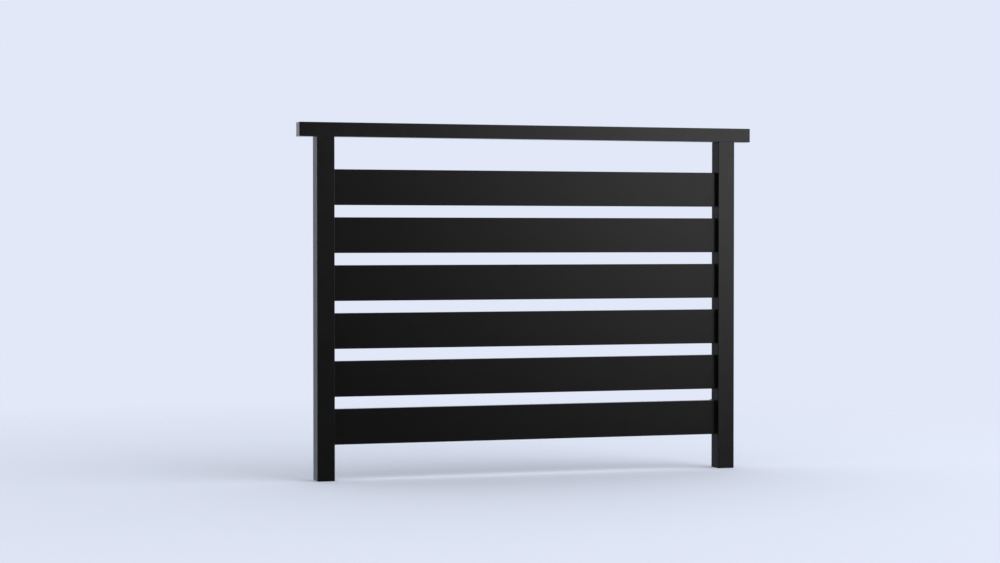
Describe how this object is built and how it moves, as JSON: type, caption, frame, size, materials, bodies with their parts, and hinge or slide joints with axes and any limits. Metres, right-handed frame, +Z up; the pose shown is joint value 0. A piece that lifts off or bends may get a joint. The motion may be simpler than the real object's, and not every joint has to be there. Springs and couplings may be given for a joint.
{
  "type": "juliet balcony",
  "caption": "Slatted guard for a French window: wide horizontal slats between square posts under a flat handrail, held off the wall by concealed brackets.",
  "frame": {"origin": "centre of the wall face of the upper left wall plate, level with the middle of the top slat", "axes": "+X along the wall to the right as seen from outside, +Y into the wall, +Z up; the front of the balcony faces -Y"},
  "size_m": [1.36, 0.086, 1],
  "materials": {
    "powder_coat": "satin black powder coat on aluminium box tube",
    "end_caps": "black moulded plastic",
    "slat_holders": "black moulded plastic",
    "wall_brackets": "satin black powder coat on steel"
  },
  "bodies": {
    "root": {"handrail": "powder_coat", "handrail_cap_left": "end_caps", "handrail_cap_right": "end_caps", "post_left": "powder_coat", "post_right": "powder_coat", "post_head_left": "powder_coat", "post_head_right": "powder_coat", "post_foot_left": "end_caps", "post_foot_right": "end_caps", "slat_1": "powder_coat", "slat_2": "powder_coat", "slat_3": "powder_coat", "slat_4": "powder_coat", "slat_5": "powder_coat", "slat_6": "powder_coat", "slat_holder_1_left": "slat_holders", "slat_holder_2_left": "slat_holders", "slat_holder_3_left": "slat_holders", "slat_holder_4_left": "slat_holders", "slat_holder_5_left": "slat_holders", "slat_holder_6_left": "slat_holders", "slat_holder_1_right": "slat_holders", "slat_holder_2_right": "slat_holders", "slat_holder_3_right": "slat_holders", "slat_holder_4_right": "slat_holders", "slat_holder_5_right": "slat_holders", "slat_holder_6_right": "slat_holders", "socket_upper_left": "wall_brackets", "socket_lower_left": "wall_brackets", "socket_upper_right": "wall_brackets", "socket_lower_right": "wall_brackets", "wall_plate_upper_left": "wall_brackets", "wall_plate_lower_left": "wall_brackets", "wall_plate_upper_right": "wall_brackets", "wall_plate_lower_right": "wall_brackets"}
  },
  "joints": []
}
